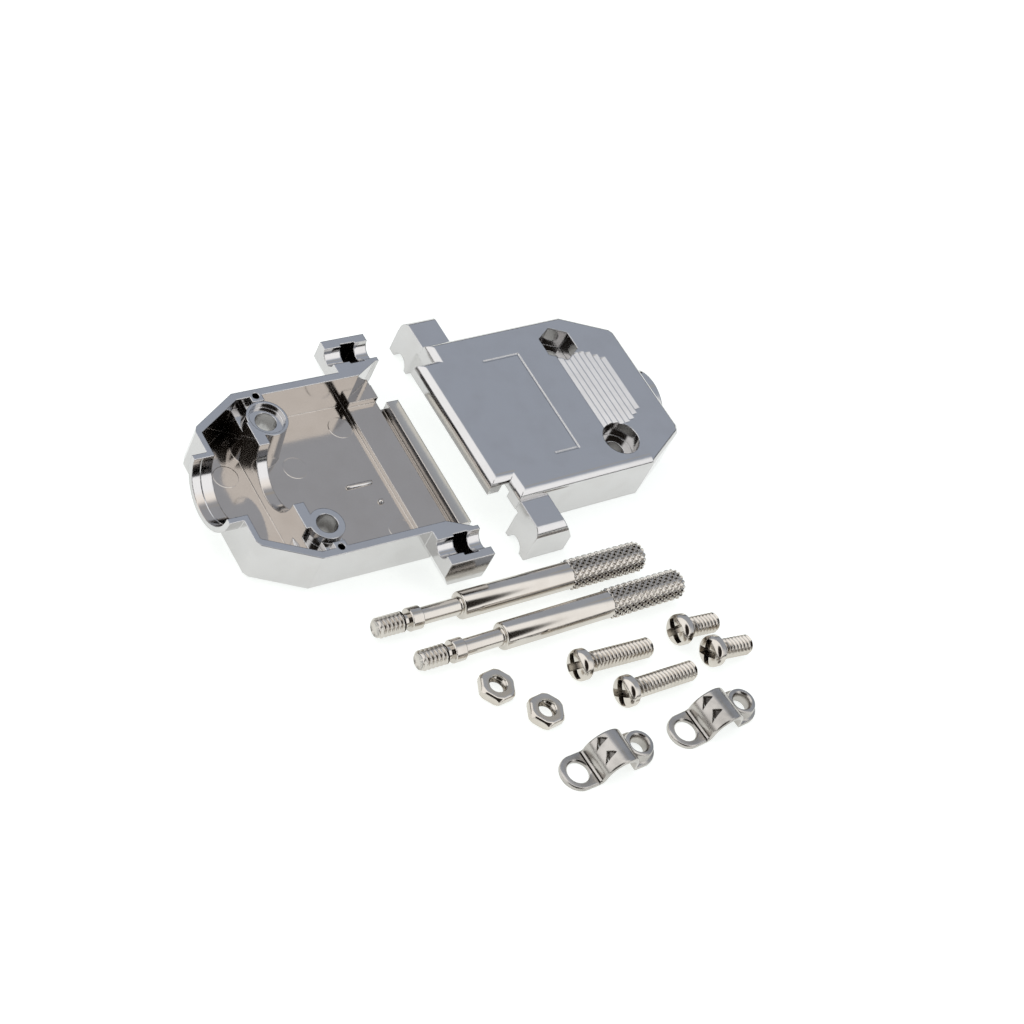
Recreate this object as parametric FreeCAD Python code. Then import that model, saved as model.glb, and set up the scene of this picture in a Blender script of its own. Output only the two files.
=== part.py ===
import FreeCAD, Part
import math
import os

# Metal hood for a 15-way d-sub cable connector, taken apart: two half shells,
# two thumbscrews and the small hardware, laid out on a table. Millimetres, +Z up,
# +X along the hood, origin under the middle of the whole layout.

# Half shell, drawn inside up: cable end at x = 0, outer face at z = 0
SHELL_HEIGHT = 7.6
SHELL_HALF_WIDTH = 13.85
CABLE_END_HALF_WIDTH = 9.6
CORNER_RUN = 7.6
FLANGE_FACE = 31.2
SIDE_WALL = 1.1
END_WALL = 0.85
FLOOR = 1.2
OUTER_EDGE_RADIUS = 1.3
END_CORNER_CUT = 0.6

# Lip in front of the connector flange
LIP_FRONT = 34.3
LIP_HALF_WIDTH = 10.9
LIP_HEIGHT = 2.5
LIP_ROOT = 5.0
FLANGE_SLOT = 1.2
FLANGE_SLOT_FLOOR = 1.0

# Step behind the flange and the pads at its ends
STEP_BACK = 26.5
STEP_HEIGHT = 2.0
PAD_HEIGHT = 3.0
PAD_WIDTH = 1.15

# Cable entry
COLLAR_RADIUS = 5.65
COLLAR_LENGTH = 2.15
CABLE_BORE = 4.9

# Saddle wall between the clamp pocket and the wire space
SADDLE_X = 7.55
SADDLE_WALL = 1.6
SADDLE_RADIUS = 4.95
SADDLE_END_DROP = 2.0

# Housing screw bosses
BOSS_X = 10.7
BOSS_FROM_SIDE = 4.95
NUT_BOSS_TOP_RADIUS = 2.9
HEAD_BOSS_TOP_RADIUS = 2.45
HEAD_BOSS_FOOT_ROOF = 0.8
BOSS_FOOT_RADIUS = 3.5
SCREW_HOLE_RADIUS = 1.5
SOCKET_RADIUS = 2.5
SOCKET_DEPTH = 0.8
NUT_POCKET_FLATS = 5.2
NUT_POCKET_DEPTH = 3.4
HEAD_RECESS_RADIUS = 2.8
HEAD_RECESS_DEPTH = 2.8
WEB_DROP = 1.0
WEB_END = 11.6
RIM_HOLE_X = 10.85
RIM_HOLE_RADIUS = 0.5
RIM_HOLE_DEPTH = 4.0
RIM_HOLE_PAD = 0.9

# Ears that hold the thumbscrews
SCREW_LINE_Y = 16.65
EAR_BACK = 24.3
EAR_OUTER = 19.4
EAR_PLATE_Z = 1.4
EAR_REAR_FLAT = 3.0
EAR_REAR_SLOPE = 1.9
EAR_FRONT_SLOPE = 0.3
EAR_FRONT_FLAT = 3.6
EAR_END_ROUND = 1.1
EAR_END_ROUND_HEIGHT = 1.95
REAR_BORE = 1.35
FRONT_BORE = 1.5
POCKET_BACK = 26.9
POCKET_FRONT = 29.2
POCKET_INNER = 14.95
POCKET_OUTER = 18.4
POCKET_FLOOR = 3.0
RELIEF_BACK = 26.4
RELIEF_FRONT = 30.5
RELIEF_INTO_WALL = 0.35
RELIEF_TO_SCREW = 2.15

# Grip ridges on the outer face
GRIP_COUNT = 8
GRIP_PITCH = 0.97
GRIP_START = 4.6
GRIP_HALF_LENGTH = 6.7
GRIP_CORNER = 3.5
GRIP_CORNER_CUT = 1.8
GRIP_DEPTH = 0.25
GRIP_STEEP_SIDE = 0.12

# Outline of the label panel
PANEL_LINE = 0.3
PANEL_DEPTH = 0.12
PANEL_BACK = 18.0
PANEL_HALF_WIDTH = 8.8
PANEL_FAR_END = 24.2
PANEL_NEAR_END = 22.3

# Casting mark on the inside floor
BAR_START = (20.3, -0.65)
BAR_LENGTH = 4.0
BAR_WIDTH = 0.4
BAR_HEIGHT = 0.3
DOT_PLACE = (24.0, -3.8)
DOT_HALF_WIDTH = 0.3

# Screw thread shared by all hardware, 4-40 unified, as a plain cylinder
THREAD_RADIUS = 1.42
NUT_HOLE_RADIUS = 1.19

# Thumbscrew, tip at x = 0
TIP_CHAMFER = 0.3
THREAD_LENGTH = 4.0
NECK_RADIUS = 0.95
NECK_END = 5.0
COLLAR_STOP_RADIUS = 1.6
COLLAR_STOP_END = 6.8
SHAFT_RADIUS = 1.2
SHAFT_END = 13.0
BARREL_RADIUS = 1.92
BARREL_END = 30.8
KNURL_RADIUS = 2.15
THUMBSCREW_LENGTH = 43.1

# Hexagon nut
NUT_FLATS = 4.76
NUT_THICKNESS = 1.6

# Pan-head screws
HEAD_RADIUS = 2.2
HEAD_RIM = 0.85
HEAD_HEIGHT = 1.75
HEAD_TOP_RADIUS = 1.35
RECESS_ARM = 1.2
RECESS_WIDTH = 0.75
RECESS_DEPTH = 1.0
LONG_SHANK = 11.4
SHORT_SHANK = 6.0

# Cable clamp, plain hole at x = 0, underside at z = 0
CLAMP_SPACING = 9.85
CLAMP_PLATE = 0.6
CLAMP_LUG_RADIUS = 2.6
CLAMP_HOLE_RADIUS = 1.6
ARCH_X = 5.2
ARCH_RADIUS = 2.95
ARCH_TOP = 3.9
TAPPED_BOSS_RADIUS = 2.1
TAPPED_BOSS_TOP = 1.9
TOOTH_OFFSET = 1.2
TOOTH_WIDTH = 1.0
TOOTH_LOW = 33.0
TOOTH_HIGH = 70.0
TOOTH_REACH = 0.9
TOOTH_ROOT = 12.0
TOOTH_TIP = 12.0
SLOT_MARGIN = 0.3

# Layout: place of each piece before the whole is centred
SECOND_SHELL_PLACE = (71.08, 2.62)
SECOND_SHELL_TURN = 1.04
THUMBSCREW_PLACES = ((12.8, -22.45, 0.0), (16.1, -28.65, 0.7))
NUT_PLACES = ((25.26, -34.79, 7.0), (30.04, -40.11, 7.0))
LONG_SCREW_PLACES = ((38.3, -35.83, 0.0, 25.0), (42.6, -41.42, 2.4, 40.0))
SHORT_SCREW_PLACES = ((55.9, -35.05, 0.0, 20.0), (58.75, -39.55, -1.4, 55.0))
CLAMP_PLACES = ((29.86, -49.43, 3.6), (48.36, -48.6, 5.8))

OVERRUN = 1.0

X_AXIS = FreeCAD.Vector(1, 0, 0)
Y_AXIS = FreeCAD.Vector(0, 1, 0)
Z_AXIS = FreeCAD.Vector(0, 0, 1)


def vec(x, y, z=0.0):
    return FreeCAD.Vector(x, y, z)


def block(x0, x1, y0, y1, z0, z1):
    return Part.makeBox(x1 - x0, y1 - y0, z1 - z0, vec(x0, y0, z0))


def prism(points, direction):
    face = Part.Face(Part.makePolygon(points + [points[0]]))
    return face.extrude(direction)


def plan_prism(outline, z0, z1):
    return prism([vec(x, y, z0) for x, y in outline], vec(0, 0, z1 - z0))


def along_x(radius, x0, x1, y, z):
    return Part.makeCylinder(radius, x1 - x0, vec(x0, y, z), X_AXIS)


def both_sides(shape):
    return [shape, shape.mirror(vec(0, 0, 0), Y_AXIS)]


def body_outline(inset_end, inset_side, front):
    """Plan of the tapered body, drawn in by the wall thicknesses."""
    run = CORNER_RUN
    rise = SHELL_HALF_WIDTH - CABLE_END_HALF_WIDTH
    slant = math.hypot(run, rise)
    side = SHELL_HALF_WIDTH - inset_side
    at_end = CABLE_END_HALF_WIDTH + (inset_end * rise - inset_side * slant) / run
    corner = run + inset_side * (slant - run) / rise
    half = [(inset_end, at_end), (corner, side), (front, side)]
    return half + [(x, -y) for x, y in reversed(half)]


def end_corner_edges(body):
    """Upright edges at the ends of the cable-end wall."""
    return [e for e in body.Edges if e.BoundBox.XMax < 1e-6 and e.BoundBox.YLength < 1e-6]


def shell_block():
    """Solid body with its lip, corners cut and outer edges rounded."""
    body = plan_prism(body_outline(0.0, 0.0, FLANGE_FACE), 0.0, SHELL_HEIGHT)
    body = body.makeChamfer(END_CORNER_CUT, end_corner_edges(body))
    lip = block(FLANGE_FACE - LIP_ROOT, LIP_FRONT, -LIP_HALF_WIDTH, LIP_HALF_WIDTH, 0.0, LIP_HEIGHT)
    solid = body.fuse(lip).removeSplitter()
    low = [e for e in solid.Edges if e.BoundBox.ZMax < 1e-6]
    return solid.makeFillet(OUTER_EDGE_RADIUS, low)


def ear():
    """Bracket for one thumbscrew, on the +Y side."""
    top = SHELL_HEIGHT
    inner = SHELL_HALF_WIDTH - SIDE_WALL
    side_view = [vec(EAR_BACK, inner, top), vec(EAR_BACK, inner, top - EAR_REAR_FLAT),
                 vec(EAR_BACK + EAR_REAR_SLOPE, inner, EAR_PLATE_Z),
                 vec(FLANGE_FACE - EAR_FRONT_SLOPE, inner, EAR_PLATE_Z),
                 vec(FLANGE_FACE, inner, top - EAR_FRONT_FLAT), vec(FLANGE_FACE, inner, top)]
    solid = prism(side_view, vec(0, EAR_OUTER - inner, 0))
    flat = EAR_OUTER - EAR_END_ROUND
    rise = EAR_PLATE_Z + EAR_END_ROUND_HEIGHT
    bulge = math.sqrt(0.5)
    middle = vec(EAR_BACK, flat + EAR_END_ROUND * bulge, rise - EAR_END_ROUND_HEIGHT * bulge)
    corners = [vec(EAR_BACK, EAR_OUTER, rise), vec(EAR_BACK, EAR_OUTER, top),
               vec(EAR_BACK, inner, top), vec(EAR_BACK, inner, EAR_PLATE_Z),
               vec(EAR_BACK, flat, EAR_PLATE_Z)]
    rounding = Part.Arc(corners[-1], middle, corners[0]).toShape()
    end_view = Part.Face(Part.Wire([rounding] + Part.makePolygon(corners).Edges))
    return solid.common(end_view.extrude(vec(FLANGE_FACE - EAR_BACK, 0, 0)))


def ear_cuts():
    """Channel for the thumbscrew and the relief beside the connector, +Y side."""
    top = SHELL_HEIGHT
    rear = along_x(REAR_BORE, EAR_BACK - OVERRUN, POCKET_BACK + OVERRUN, SCREW_LINE_Y, top)
    front = along_x(FRONT_BORE, POCKET_FRONT - OVERRUN / 2, FLANGE_FACE + OVERRUN, SCREW_LINE_Y, top)
    pocket = block(POCKET_BACK, POCKET_FRONT, POCKET_INNER, POCKET_OUTER,
                   POCKET_FLOOR, top + OVERRUN)
    past = FLANGE_FACE + OVERRUN
    inner = SHELL_HALF_WIDTH - SIDE_WALL - RELIEF_INTO_WALL
    outer = SCREW_LINE_Y - RELIEF_TO_SCREW
    relief = plan_prism([(RELIEF_BACK, inner), (RELIEF_FRONT, outer), (past, outer), (past, 0.0),
                         (RELIEF_BACK, 0.0)], PAD_HEIGHT, top + OVERRUN)
    return [rear, front, pocket, relief]


def boss_line():
    return SHELL_HALF_WIDTH - BOSS_FROM_SIDE


def bosses():
    """Tapered boss over the nut pocket, stepped boss over the head recess."""
    tall = SHELL_HEIGHT - FLOOR
    foot = HEAD_RECESS_DEPTH + HEAD_BOSS_FOOT_ROOF - FLOOR
    nut_side = vec(BOSS_X, boss_line(), FLOOR)
    head_side = vec(BOSS_X, -boss_line(), FLOOR)
    return [Part.makeCone(BOSS_FOOT_RADIUS, NUT_BOSS_TOP_RADIUS, tall, nut_side),
            Part.makeCylinder(BOSS_FOOT_RADIUS, foot, head_side),
            Part.makeCylinder(HEAD_BOSS_TOP_RADIUS, tall, head_side)]


def nut_pocket():
    """Six-sided pocket with flats facing the cable end and the front."""
    corner = NUT_POCKET_FLATS / math.sqrt(3.0)
    ring = [(BOSS_X + corner * math.cos(math.radians(90 + 60 * k)),
             boss_line() + corner * math.sin(math.radians(90 + 60 * k))) for k in range(6)]
    return plan_prism(ring, -OVERRUN, NUT_POCKET_DEPTH)


def grip_grooves():
    """Sawtooth grooves of the grip, shorter toward the rounded cable-end corners."""
    cuts = []
    for k in range(GRIP_COUNT):
        x = GRIP_START + k * GRIP_PITCH
        into_corner = max(0.0, GRIP_START + GRIP_CORNER - x)
        drawn_in = GRIP_CORNER - math.sqrt(max(0.0, GRIP_CORNER ** 2 - into_corner ** 2))
        half = GRIP_HALF_LENGTH - min(GRIP_CORNER_CUT, drawn_in)
        section = [vec(x, -half, 0.0), vec(x + GRIP_PITCH - GRIP_STEEP_SIDE, -half, GRIP_DEPTH),
                   vec(x + GRIP_PITCH, -half, 0.0)]
        cuts.append(prism(section, vec(0, 2 * half, 0)))
    return cuts


def panel_lines():
    """Sunk outline of the label panel, open toward the front."""
    back = PANEL_BACK
    far = PANEL_HALF_WIDTH
    return [block(back, back + PANEL_LINE, -far, far, -OVERRUN, PANEL_DEPTH),
            block(back, PANEL_FAR_END, far - PANEL_LINE, far, -OVERRUN, PANEL_DEPTH),
            block(back, PANEL_NEAR_END, -far, PANEL_LINE - far, -OVERRUN, PANEL_DEPTH)]


def half_shell():
    """One half of the hood; both halves are alike."""
    top = SHELL_HEIGHT
    inner = SHELL_HALF_WIDTH - SIDE_WALL
    solid = shell_block()
    room = plan_prism(body_outline(END_WALL, SIDE_WALL, LIP_FRONT + OVERRUN), FLOOR, top + OVERRUN)
    above_lip = block(FLANGE_FACE, LIP_FRONT + OVERRUN, -SHELL_HALF_WIDTH, SHELL_HALF_WIDTH,
                      LIP_HEIGHT, top + OVERRUN)
    kept_front = block(FLANGE_FACE, LIP_FRONT + OVERRUN, -SHELL_HALF_WIDTH, SHELL_HALF_WIDTH,
                       0.0, LIP_HEIGHT)
    solid = solid.cut(room.cut(kept_front)).cut(above_lip)
    solid = solid.cut(block(FLANGE_FACE, FLANGE_FACE + FLANGE_SLOT, -SHELL_HALF_WIDTH,
                            SHELL_HALF_WIDTH, FLANGE_SLOT_FLOOR, top))

    boss_y = boss_line()
    saddle_end = SADDLE_X + SADDLE_WALL
    added = [block(STEP_BACK, FLANGE_FACE, -inner, inner, FLOOR, STEP_HEIGHT),
             along_x(COLLAR_RADIUS, -COLLAR_LENGTH, END_WALL, 0.0, top),
             block(SADDLE_X, saddle_end, -boss_y, boss_y, FLOOR, top),
             block(SADDLE_X, saddle_end, -inner, inner, FLOOR, top - SADDLE_END_DROP)]
    added += bosses()
    added += both_sides(block(STEP_BACK, FLANGE_FACE, inner - PAD_WIDTH, inner, FLOOR, PAD_HEIGHT))
    added += both_sides(block(saddle_end, WEB_END, boss_y, inner, FLOOR, top - WEB_DROP))
    added += both_sides(block(RIM_HOLE_X - RIM_HOLE_PAD, RIM_HOLE_X + RIM_HOLE_PAD,
                              inner - RIM_HOLE_PAD, inner, FLOOR, top))
    added += both_sides(ear())
    added.append(block(BAR_START[0], BAR_START[0] + BAR_LENGTH, BAR_START[1],
                       BAR_START[1] + BAR_WIDTH, FLOOR, FLOOR + BAR_HEIGHT))
    added.append(block(DOT_PLACE[0] - DOT_HALF_WIDTH, DOT_PLACE[0] + DOT_HALF_WIDTH,
                       DOT_PLACE[1] - DOT_HALF_WIDTH, DOT_PLACE[1] + DOT_HALF_WIDTH,
                       FLOOR, FLOOR + BAR_HEIGHT))
    solid = solid.multiFuse(added)

    cuts = [along_x(CABLE_BORE, -COLLAR_LENGTH - OVERRUN, END_WALL + OVERRUN, 0.0, top),
            along_x(SADDLE_RADIUS, SADDLE_X - OVERRUN, SADDLE_X + SADDLE_WALL + OVERRUN, 0.0, top),
            block(-COLLAR_LENGTH - OVERRUN, LIP_FRONT, -EAR_OUTER, EAR_OUTER, top,
                  top + COLLAR_RADIUS + OVERRUN),
            nut_pocket(),
            Part.makeCylinder(HEAD_RECESS_RADIUS, HEAD_RECESS_DEPTH + OVERRUN,
                              vec(BOSS_X, -boss_y, -OVERRUN)),
            Part.makeCylinder(SOCKET_RADIUS, SOCKET_DEPTH + OVERRUN,
                              vec(BOSS_X, boss_y, top - SOCKET_DEPTH))]
    cuts += both_sides(Part.makeCylinder(SCREW_HOLE_RADIUS, top + 2 * OVERRUN,
                                         vec(BOSS_X, boss_y, -OVERRUN)))
    cuts += both_sides(Part.makeCylinder(RIM_HOLE_RADIUS, RIM_HOLE_DEPTH + OVERRUN,
                                         vec(RIM_HOLE_X, inner, top - RIM_HOLE_DEPTH)))
    for cut in ear_cuts():
        cuts += both_sides(cut)
    cuts += grip_grooves() + panel_lines()
    for cut in cuts:
        solid = solid.cut(cut)
    return solid.removeSplitter()


def turned(profile):
    """Solid of revolution about X from (x, radius) points."""
    points = [vec(x, r) for x, r in profile]
    face = Part.Face(Part.makePolygon(points + [points[0]]))
    return face.revolve(vec(0, 0), X_AXIS, 360)


def thumbscrew():
    tip = TIP_CHAMFER
    profile = [(0.0, 0.0), (0.0, THREAD_RADIUS - tip), (tip, THREAD_RADIUS),
               (THREAD_LENGTH, THREAD_RADIUS), (THREAD_LENGTH, NECK_RADIUS),
               (NECK_END, NECK_RADIUS), (NECK_END, COLLAR_STOP_RADIUS),
               (COLLAR_STOP_END, COLLAR_STOP_RADIUS), (COLLAR_STOP_END, SHAFT_RADIUS),
               (SHAFT_END, SHAFT_RADIUS), (SHAFT_END, BARREL_RADIUS), (BARREL_END, BARREL_RADIUS),
               (BARREL_END, KNURL_RADIUS), (THUMBSCREW_LENGTH, KNURL_RADIUS), (THUMBSCREW_LENGTH, 0.0)]
    return turned(profile)


def nut():
    """Hexagon nut lying flat, its thread a plain hole."""
    corner = NUT_FLATS / math.sqrt(3.0)
    ring = [(corner * math.cos(math.radians(60 * k)), corner * math.sin(math.radians(60 * k)))
            for k in range(6)]
    solid = plan_prism(ring, 0.0, NUT_THICKNESS)
    return solid.cut(Part.makeCylinder(NUT_HOLE_RADIUS, NUT_THICKNESS))


def pan_screw(shank):
    """Screw with its head toward -X; the underside of the head is at x = 0."""
    profile = [(shank, 0.0), (shank, THREAD_RADIUS), (0.0, THREAD_RADIUS),
               (0.0, HEAD_RADIUS), (-HEAD_RIM, HEAD_RADIUS),
               (-HEAD_HEIGHT, HEAD_TOP_RADIUS), (-HEAD_HEIGHT, 0.0)]
    solid = turned(profile)
    half = RECESS_WIDTH / 2.0
    floor = RECESS_DEPTH - HEAD_HEIGHT
    arm = block(-HEAD_HEIGHT - OVERRUN, floor, -RECESS_ARM, RECESS_ARM, -half, half)
    cross = block(-HEAD_HEIGHT - OVERRUN, floor, -half, half, -RECESS_ARM, RECESS_ARM)
    return solid.cut(arm).cut(cross)


def clamp_tooth(side):
    """Slot in the rising side of the arch and the tooth pressed inward from it."""
    inner = ARCH_RADIUS - CLAMP_PLATE
    y0 = side * TOOTH_OFFSET - TOOTH_WIDTH / 2.0
    centre = vec(ARCH_X, y0, ARCH_TOP - ARCH_RADIUS)

    def at(angle, radius):
        a = math.radians(180.0 - angle)
        return centre + vec(radius * math.cos(a), 0.0, radius * math.sin(a))

    across = vec(0, TOOTH_WIDTH, 0)
    mean = (TOOTH_LOW + TOOTH_HIGH) / 2.0
    beyond = ARCH_RADIUS + SLOT_MARGIN
    crown = beyond / math.cos(math.radians(TOOTH_HIGH - mean))
    slot = prism([at(TOOTH_LOW, inner - SLOT_MARGIN), at(TOOTH_LOW, beyond), at(mean, crown),
                  at(TOOTH_HIGH, beyond), at(TOOTH_HIGH, inner - SLOT_MARGIN)], across)
    root = inner + CLAMP_PLATE / 3.0
    tooth = prism([at(TOOTH_HIGH, inner), at(TOOTH_HIGH, root), at(TOOTH_HIGH + TOOTH_ROOT, root),
                   at(TOOTH_HIGH - TOOTH_TIP, inner - TOOTH_REACH)], across)
    return slot, tooth


def cable_clamp():
    """Stamped strap with a plain lug, an arch with two teeth and a tapped lug."""
    width = CLAMP_LUG_RADIUS
    middle = ARCH_X
    spring = ARCH_TOP - ARCH_RADIUS
    inner = ARCH_RADIUS - CLAMP_PLATE
    arch = Part.makeCylinder(ARCH_RADIUS, 2 * width, vec(middle, -width, spring), Y_AXIS)
    arch = arch.fuse(block(middle - ARCH_RADIUS, middle + ARCH_RADIUS, -width, width, 0.0, spring))
    under = Part.makeCylinder(inner, 2 * width, vec(middle, -width, spring), Y_AXIS)
    under = under.fuse(block(middle - inner, middle + inner, -width, width, -OVERRUN, spring))
    arch = arch.cut(block(middle - ARCH_RADIUS, middle + ARCH_RADIUS, -width, width,
                          -ARCH_RADIUS, 0.0)).cut(under)
    pieces = [Part.makeCylinder(CLAMP_LUG_RADIUS, CLAMP_PLATE),
              block(0.0, middle - inner, -width, width, 0.0, CLAMP_PLATE),
              Part.makeCylinder(CLAMP_LUG_RADIUS, CLAMP_PLATE, vec(CLAMP_SPACING, 0, 0)),
              block(middle + inner, CLAMP_SPACING, -width, width, 0.0, CLAMP_PLATE),
              Part.makeCylinder(TAPPED_BOSS_RADIUS, TAPPED_BOSS_TOP, vec(CLAMP_SPACING, 0, 0))]
    solid = arch.multiFuse(pieces)
    solid = solid.cut(Part.makeCylinder(CLAMP_HOLE_RADIUS, CLAMP_PLATE))
    solid = solid.cut(Part.makeCylinder(NUT_HOLE_RADIUS, TAPPED_BOSS_TOP, vec(CLAMP_SPACING, 0, 0)))
    for side in (-1, 1):
        slot, tooth = clamp_tooth(side)
        solid = solid.cut(slot).fuse(tooth)
    return solid.removeSplitter()


def placed(shape, x, y, z, turn, tilt=0.0, roll=0.0):
    """Copy rolled about X, tipped about Y, turned about Z and moved."""
    spin = FreeCAD.Rotation(Z_AXIS, turn).multiply(FreeCAD.Rotation(Y_AXIS, tilt))
    spin = spin.multiply(FreeCAD.Rotation(X_AXIS, roll))
    copy = shape.copy()
    copy.Placement = FreeCAD.Placement(vec(x, y, z), spin)
    return copy


def resting_screw(shank, x, y, turn, roll):
    """Screw lying on the rim of its head and the end of its thread."""
    tilt = math.atan2(HEAD_RADIUS - THREAD_RADIUS, shank)
    height = HEAD_RADIUS * math.cos(tilt)
    return placed(pan_screw(shank), x, y, height, turn, math.degrees(tilt), roll)


def resting_thumbscrew(x, y, turn):
    """Thumbscrew lying on the front edge of its barrel and the start of its knurl."""
    tilt = math.atan2(KNURL_RADIUS - BARREL_RADIUS, BARREL_END - SHAFT_END)
    height = BARREL_RADIUS * math.cos(tilt) - SHAFT_END * math.sin(tilt)
    return placed(thumbscrew(), x, y, height, turn, -math.degrees(tilt))


def layout():
    """All pieces where they lie, by name."""
    shell = half_shell()
    pieces = {"shell_inside_up": shell}
    x, y = SECOND_SHELL_PLACE
    pieces["shell_outside_up"] = placed(shell, x, y, SHELL_HEIGHT, SECOND_SHELL_TURN, 180.0)
    for k, (x, y, turn) in enumerate(THUMBSCREW_PLACES, 1):
        pieces["thumbscrew_%d" % k] = resting_thumbscrew(x, y, turn)
    for k, (x, y, turn) in enumerate(NUT_PLACES, 1):
        pieces["nut_%d" % k] = placed(nut(), x, y, 0.0, turn)
    for k, (x, y, turn, roll) in enumerate(LONG_SCREW_PLACES, 1):
        pieces["housing_screw_%d" % k] = resting_screw(LONG_SHANK, x, y, turn, roll)
    for k, (x, y, turn, roll) in enumerate(SHORT_SCREW_PLACES, 1):
        pieces["clamp_screw_%d" % k] = resting_screw(SHORT_SHANK, x, y, turn, roll)
    for k, (x, y, turn) in enumerate(CLAMP_PLACES, 1):
        pieces["cable_clamp_%d" % k] = placed(cable_clamp(), x, y, 0.0, turn)
    return pieces


def main():
    os.makedirs("parts", exist_ok=True)
    pieces = layout()
    box = Part.makeCompound(list(pieces.values())).optimalBoundingBox(False, False)
    shift = vec(-box.Center.x, -box.Center.y, -box.ZMin)
    for name, shape in pieces.items():
        shape.translate(shift)
        shape.exportStep("parts/%s.step" % name)


main()
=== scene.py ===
import math

import bmesh
import bpy
from mathutils import Matrix, Vector


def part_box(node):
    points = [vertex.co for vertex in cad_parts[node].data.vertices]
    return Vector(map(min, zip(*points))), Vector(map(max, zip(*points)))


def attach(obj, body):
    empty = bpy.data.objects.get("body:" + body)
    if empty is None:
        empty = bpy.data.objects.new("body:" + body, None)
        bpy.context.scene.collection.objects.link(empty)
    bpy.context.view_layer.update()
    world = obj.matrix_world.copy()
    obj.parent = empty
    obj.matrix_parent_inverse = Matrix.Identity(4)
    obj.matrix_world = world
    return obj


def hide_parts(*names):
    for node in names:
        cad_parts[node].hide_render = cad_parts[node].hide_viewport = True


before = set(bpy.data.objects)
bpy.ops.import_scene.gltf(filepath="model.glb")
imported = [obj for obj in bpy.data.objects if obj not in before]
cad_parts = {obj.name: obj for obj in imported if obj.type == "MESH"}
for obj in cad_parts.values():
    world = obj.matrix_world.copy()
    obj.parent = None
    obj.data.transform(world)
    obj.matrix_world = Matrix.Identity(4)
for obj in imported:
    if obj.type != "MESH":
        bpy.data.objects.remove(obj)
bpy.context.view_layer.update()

# Sizes are in millimetres and angles in degrees where no comment says otherwise.
# The layout is measured from the middle of the cable end of the half that lies inside up,
# without the collar that stands out there.
MM = 0.001
COLLAR_LENGTH = 2.15
SHELL_LOW, SHELL_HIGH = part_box("shell_inside_up")
ORIGIN = Vector((SHELL_LOW.x + COLLAR_LENGTH * MM, (SHELL_LOW.y + SHELL_HIGH.y) / 2, 0.0))

# Camera: its place from ORIGIN, the directions of its right and upper side, and its lens
CAMERA_PLACE = Vector((-140.3, -146.28, 239.62))
CAMERA_RIGHT = Vector((0.8083, -0.4757, 0.3468))
CAMERA_UP = Vector((0.2010, 0.7767, 0.5970))
SENSOR = 36.0
LENS = 84.16
NEAREST_METRES = 0.01
FARTHEST_METRES = 10.0

# Columns round a turned surface, and the angles that still shade smooth
AROUND = 64
SMOOTH_ANGLE = 35.0
NUT_SMOOTH_ANGLE = 25.0
BOX_FACES = [(0, 1, 2, 3), (4, 5, 6, 7), (0, 1, 5, 4), (1, 2, 6, 5), (2, 3, 7, 6), (3, 0, 4, 7)]

# Thread of the screws; its form is the height of each row of a turn as a part of the depth
THREAD_RADIUS = 1.42
THREAD_PITCH = 0.635
THREAD_DEPTH = 0.3
THREAD_CHAMFER = 0.3
THREAD_ROOT = THREAD_RADIUS - THREAD_DEPTH
THREAD_TIP = THREAD_RADIUS - THREAD_CHAMFER
THREAD_FORM = (0.0, 0.45, 1.0, 1.0, 0.45, 0.0)
THREAD_COLUMNS = 32
SPARE_TURNS = 3

# Thumbscrew along X from the tip of its thread
SCREW_BEVEL = 0.12
THREAD_END = 4.0
NECK_RADIUS = 0.95
NECK_END = 5.0
STOP_RADIUS = 1.6
STOP_END = 6.8
SHAFT_RADIUS = 1.2
SHAFT_END = 13.0
BARREL_RADIUS = 1.92
BARREL_END = 30.8
SCREW_END = 43.1

# Knurl of its grip: diamonds round it, columns in half a diamond, and how both ends fade
KNURL_RADIUS = 2.15
KNURL_DEPTH = 0.3
KNURL_PITCH = 1.05
KNURL_COUNT = 15
KNURL_FINE = 4
KNURL_STEEPNESS = 1.35
KNURL_END_DROP = 0.25
KNURL_END_FADE = 0.5
KNURL_START_FADE = 0.25
KNURL_START_LEFT = 0.4

# Pan-head screws; a recess is length, width and depth
HEAD_RADIUS = 2.2
HEAD_RIM = 0.85
HEAD_HEIGHT = 1.75
HEAD_FLAT = 0.7
HEAD_STEPS = 12
LONG_SHANK = 11.4
SHORT_SHANK = 6.0
SLOT_RECESS = (3.5, 0.85, 1.2)
CROSS_RECESS = (2.9, 0.95, 1.4)
RECESS_TAPER = 0.25
RECESS_ABOVE = 0.5

# Nuts; the radius that cuts the hexagon's corners starts at the face and grows by the step
NUT_FLATS = 4.76
NUT_THICKNESS = 1.6
NUT_BORE = 1.19
NUT_FLARE = 1.34
NUT_EDGE = 0.42
NUT_EDGE_STEPS = 5
NUT_CORNER = 2.1
NUT_CORNER_STEP = 0.11
NUT_COLUMNS = 96
NUT_THREAD_DEPTH = 0.24
NUT_THREAD_FORM = (0.0, 0.5, 1.0, 0.5)

# Cable clamp, its plain hole at x = 0
CLAMP_SPACING = 9.85
CLAMP_PLATE = 0.6
CLAMP_LUG_RADIUS = 2.6
LUG_STEPS = 24
PLAIN_HOLE = 1.6
PLAIN_HOLE_BEVEL = 0.2
ARCH_X = 5.2
ARCH_RADIUS = 2.95
ARCH_INSIDE = ARCH_RADIUS - CLAMP_PLATE
ARCH_TOP = 3.9
BEND_RADIUS = 0.25
FOOT_X = ARCH_X - ARCH_RADIUS - BEND_RADIUS
EDGE_ROLL = 0.3
EDGE_ANGLES = (90, 70, 50, 30, 15, 0)
EDGE_LEFT = 0.05
CUT_PAST = 0.5

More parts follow.
